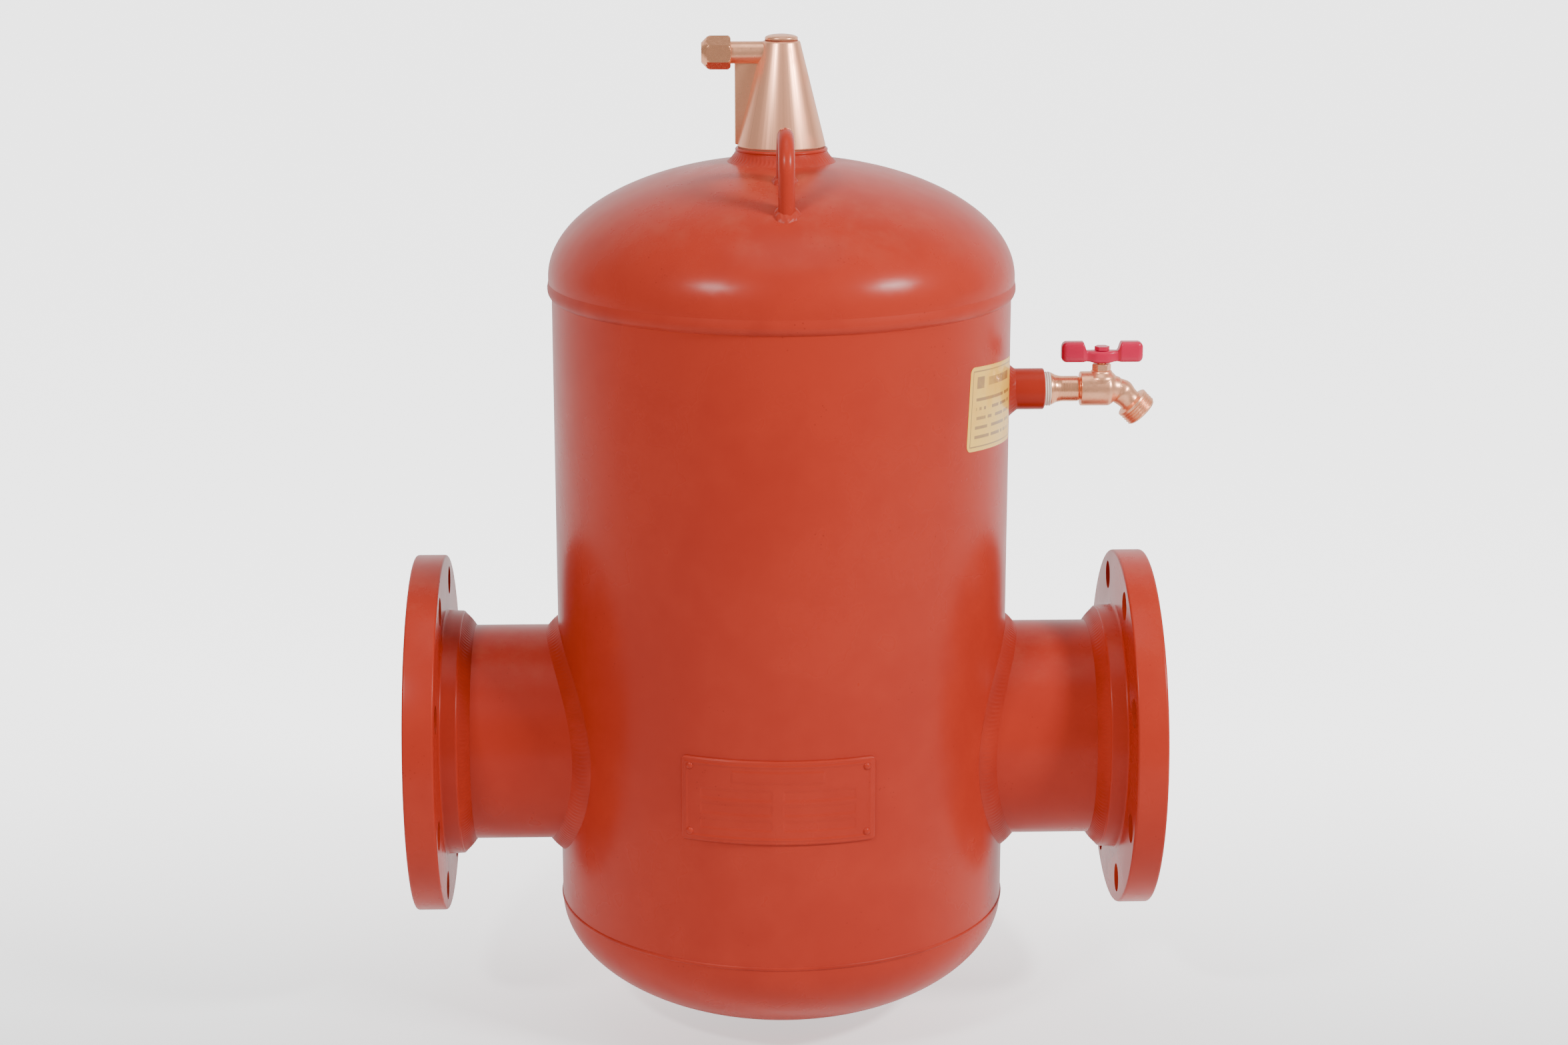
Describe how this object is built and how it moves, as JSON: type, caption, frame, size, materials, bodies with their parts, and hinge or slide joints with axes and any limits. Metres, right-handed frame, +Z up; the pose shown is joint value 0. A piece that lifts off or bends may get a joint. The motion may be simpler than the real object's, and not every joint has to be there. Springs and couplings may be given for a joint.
{
  "type": "air separator",
  "caption": "Flanged in-line air separator: welded vessel across a pipe run, wire-wound bundle inside, conical float vent on the dome and a quarter-turn skim valve on its side.",
  "frame": {"origin": "centre of the inlet flange's raised face, on the pipe run's centreline", "axes": "+X along the run towards the outlet, +Z up along the vessel's axis, +Y to the back"},
  "size_m": [0.577, 0.3592, 0.766],
  "materials": {
    "vessel_paint": "red oxide enamel, satin",
    "cast_brass": "fine machined casting",
    "turned_brass": "turned",
    "handle_enamel": "gloss enamel",
    "steel": "plain steel",
    "ptfe": "white tape and seats",
    "seal_rubber": "black rubber",
    "float_plastic": "moulded",
    "label_film": "printed film",
    "copper_wire": "bright wire",
    "gasket_fibre": "compressed fibre"
  },
  "bodies": {
    "vessel": {"shell": "vessel_paint", "top_head": "vessel_paint", "bottom_head": "vessel_paint", "upper_girth_weld": "vessel_paint", "lower_girth_weld": "vessel_paint", "inlet_nozzle": "vessel_paint", "outlet_nozzle": "vessel_paint", "inlet_flange": "vessel_paint", "outlet_flange": "vessel_paint", "nozzle_welds": "vessel_paint", "flange_welds": "vessel_paint", "vent_boss": "vessel_paint", "vent_boss_weld": "vessel_paint", "vent_base_gasket": "gasket_fibre", "vent_body": "cast_brass", "vent_cap_gasket": "gasket_fibre", "vent_cap": "turned_brass", "vent_outlet_adapter": "turned_brass", "vent_seat": "turned_brass", "lever_pin": "steel", "front_lifting_lug": "vessel_paint", "rear_lifting_lug": "vessel_paint", "lug_welds": "vessel_paint", "skim_coupling": "vessel_paint", "skim_coupling_weld": "vessel_paint", "thread_tape": "ptfe", "valve_inlet_adapter": "turned_brass", "valve_body": "cast_brass", "ball_seats": "ptfe", "stem_packing": "ptfe", "packing_nut": "turned_brass", "name_plate": "vessel_paint", "name_plate_tacks": "vessel_paint", "label": "label_film", "core_tubes": "copper_wire", "wire_media": "copper_wire", "bundle_bottom_plate": "steel", "bundle_top_plate": "steel", "tie_rods": "steel", "tie_rod_nuts": "steel", "bundle_supports": "steel"},
    "handle": {"valve_stem": "turned_brass", "valve_handle": "handle_enamel", "handle_nut": "handle_enamel", "valve_ball": "steel"},
    "float": {"vent_float": "float_plastic", "float_rod": "steel"},
    "lever": {"vent_lever": "steel", "lever_seal": "seal_rubber"}
  },
  "joints": [
    {"name": "handle_turn", "type": "hinge", "parent": "vessel", "child": "handle", "pos_m": [0.5354, 0, 0.2735], "axis": [0, 0, 1], "range_deg": [-90, 0]},
    {"name": "float_slide", "type": "slide", "parent": "vessel", "child": "float", "axis": [0, 0, 1], "range_m": [-0.005, 0]},
    {"name": "lever_tilt", "type": "hinge", "parent": "vessel", "child": "lever", "pos_m": [0.298, 0, 0.51065], "axis": [0, 1, 0], "range_deg": [-15.5, 0]}
  ],
  "couplings": [
    {"joint": "lever_tilt", "follows": "float_slide", "rad_per_m": 52.632}
  ]
}
